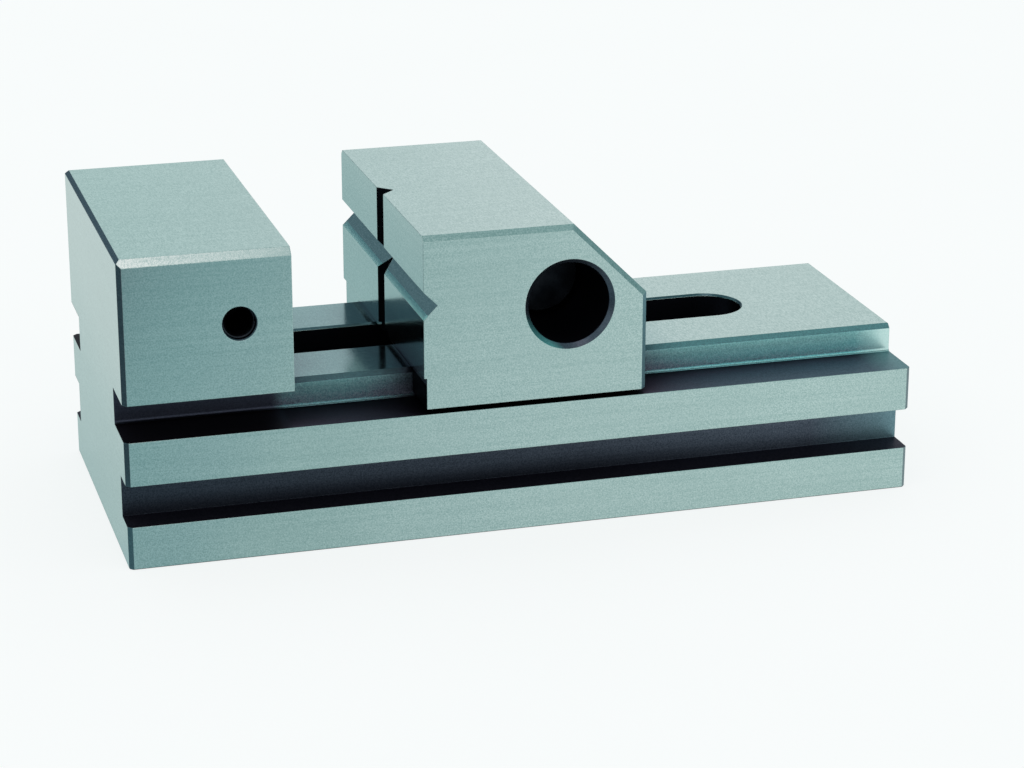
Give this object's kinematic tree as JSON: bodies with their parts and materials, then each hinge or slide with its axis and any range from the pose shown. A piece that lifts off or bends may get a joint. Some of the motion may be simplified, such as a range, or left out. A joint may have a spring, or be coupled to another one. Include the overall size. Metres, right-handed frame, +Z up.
{
  "type": "precision vise",
  "caption": "Small ground-steel precision vise: slotted bed with fixed jaw, sliding saddle jaw with crossed V-grooves, and a 45-degree pull-down clamp screw.",
  "frame": {"origin": "under the middle of the bed, on the surface that the vise stands on, with the jaws 16.2 mm open and the nut lowered clear of its notches", "axes": "+X along the bed from the fixed jaw to the free end, +Y across the jaws away from the side with the tapped stop hole, +Z up"},
  "size_m": [0.102, 0.044, 0.0392],
  "materials": {
    "ground_steel": "fine surface-ground, hardened, satin",
    "black_oxide_steel": "black oxide, lightly oiled",
    "turned_steel": "turned and hardened, satin",
    "spring_steel": "drawn spring wire, bright grey"
  },
  "bodies": {
    "vise_body": {"vise_body": "ground_steel"},
    "moving_jaw": {"moving_jaw": "ground_steel"},
    "swivel": {"swivel_barrel": "black_oxide_steel", "thrust_washer": "turned_steel", "return_spring": "spring_steel"},
    "clamp_screw": {"clamp_screw": "black_oxide_steel", "screw_end_clip": "spring_steel"},
    "nut": {"trunnion_nut": "turned_steel", "spring_plate": "turned_steel"}
  },
  "joints": [
    {"name": "jaw_slide", "type": "slide", "parent": "vise_body", "child": "moving_jaw", "axis": [1, 0, 0], "range_m": [-0.0162, 0.0318]},
    {"name": "barrel_swing", "type": "hinge", "parent": "moving_jaw", "child": "swivel", "pos_m": [0.00491, 0, 0.02911], "axis": [0, 1, 0], "range_deg": [-2.5, 2.5]},
    {"name": "screw_turn", "type": "hinge", "parent": "swivel", "child": "clamp_screw", "pos_m": [0.00491, 0, 0.02911], "axis": [-0.7071, 0, -0.7071], "range_deg": [0, 1800]},
    {"name": "nut_travel", "type": "slide", "parent": "swivel", "child": "nut", "axis": [0.7071, 0, 0.7071], "range_m": [0, 0.005], "deforming": ["return_spring"]}
  ],
  "couplings": [
    {"joint": "nut_travel", "follows": "screw_turn", "m_per_rad": 0.00015915}
  ]
}
